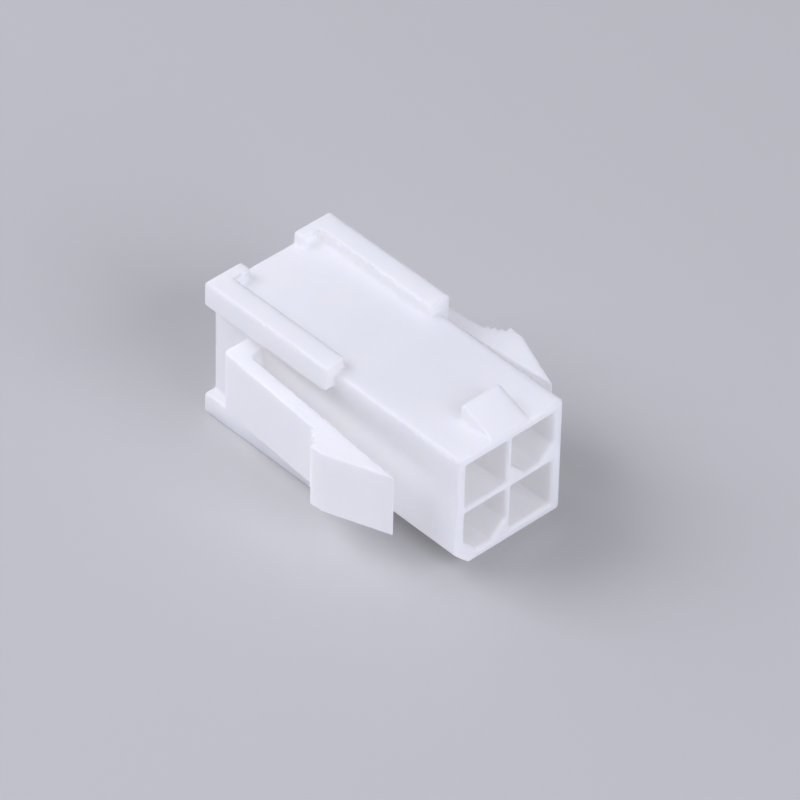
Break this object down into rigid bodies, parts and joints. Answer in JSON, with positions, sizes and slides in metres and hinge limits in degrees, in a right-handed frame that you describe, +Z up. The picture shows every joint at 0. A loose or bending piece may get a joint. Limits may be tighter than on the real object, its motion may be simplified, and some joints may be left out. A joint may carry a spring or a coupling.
{
  "type": "wire connector plug housing",
  "caption": "White nylon plug housing with a block of keyed mating cells, a lock ramp on top, corner rails and spring ears that snap into a panel.",
  "frame": {"origin": "midway along and across the housing, level with the underside of the lower rails", "axes": "+X across the circuits, -Y out of the mating face, +Y out of the wire end, +Z up on the lock ramp's side"},
  "size_m": [0.0182, 0.024, 0.0117],
  "materials": {
    "nylon": "natural white nylon, satin, slightly translucent"
  },
  "bodies": {
    "root": {"housing": "nylon"}
  },
  "joints": []
}
